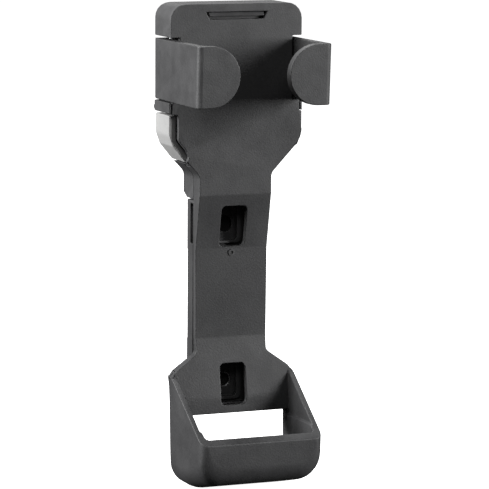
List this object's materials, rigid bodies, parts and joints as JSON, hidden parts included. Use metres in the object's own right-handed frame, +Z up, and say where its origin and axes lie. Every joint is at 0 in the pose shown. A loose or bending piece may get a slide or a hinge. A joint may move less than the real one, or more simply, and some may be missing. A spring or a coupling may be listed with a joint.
{
  "type": "bicycle lock carrier",
  "caption": "Frame-mounted carrier for a shackle bicycle lock: open cup at the foot, slim bolted waist, sprung hinged jaws and side release lever at the head.",
  "frame": {"origin": "on the mounting plane (backs of the rubber pads, where they meet the bicycle frame), at the lower bolt axis", "axes": "+X to the right seen from the front, +Y to the back into the bicycle frame, +Z up along the frame tube"},
  "size_m": [0.0572, 0.0494, 0.1931],
  "materials": {
    "charcoal_moulding": "fine grained charcoal moulding",
    "grey_lever": "fine grained light grey moulding",
    "black_rubber": "dull black rubber",
    "zinc_steel": "zinc plated steel",
    "spring_steel": "bright drawn spring wire"
  },
  "bodies": {
    "carrier": {"face_plate": "charcoal_moulding", "head_housing": "charcoal_moulding", "mount_rail": "charcoal_moulding", "lower_bolt_bush": "zinc_steel", "lower_pad": "black_rubber", "upper_pad": "black_rubber", "left_jaw_pin": "zinc_steel", "right_jaw_pin": "zinc_steel", "left_jaw_spring": "spring_steel", "right_jaw_spring": "spring_steel", "lever_pin": "zinc_steel", "lever_spring": "spring_steel", "latch_spring": "spring_steel", "housing_screw_1": "zinc_steel", "housing_screw_2": "zinc_steel", "housing_screw_3": "zinc_steel", "housing_screw_4": "zinc_steel", "rail_screw_1": "zinc_steel", "rail_screw_2": "zinc_steel"},
    "left_jaw_body": {"left_jaw": "charcoal_moulding"},
    "right_jaw_body": {"right_jaw": "charcoal_moulding"},
    "lever_body": {"release_lever": "grey_lever"},
    "latch_body": {"latch_bar": "charcoal_moulding"}
  },
  "joints": [
    {"name": "left_jaw_hinge", "type": "hinge", "parent": "carrier", "child": "left_jaw_body", "pos_m": [-0.0224, -0.0022, 0.127], "axis": [0, 0, -1], "range_deg": [0, 30], "stiffness_Nm_per_rad": 0.08, "springref_deg": -5.73, "deforming": ["left_jaw_spring"]},
    {"name": "right_jaw_hinge", "type": "hinge", "parent": "carrier", "child": "right_jaw_body", "pos_m": [0.0224, -0.0022, 0.127], "axis": [0, 0, 1], "range_deg": [0, 30], "stiffness_Nm_per_rad": 0.08, "springref_deg": -5.73, "deforming": ["right_jaw_spring"]},
    {"name": "lever_pivot", "type": "hinge", "parent": "carrier", "child": "lever_body", "pos_m": [-0.0174, -0.006, 0.0942], "axis": [0, 1, 0], "range_deg": [0, 4.5], "deforming": ["lever_spring"]},
    {"name": "latch_slide", "type": "slide", "parent": "carrier", "child": "latch_body", "axis": [0, 0, -1], "range_m": [0, 0.002], "stiffness_N_per_m": 15, "springref_m": -0.0015, "deforming": ["latch_spring"]}
  ],
  "couplings": [
    {"joint": "lever_pivot", "follows": "latch_slide", "rad_per_m": 39.2}
  ]
}
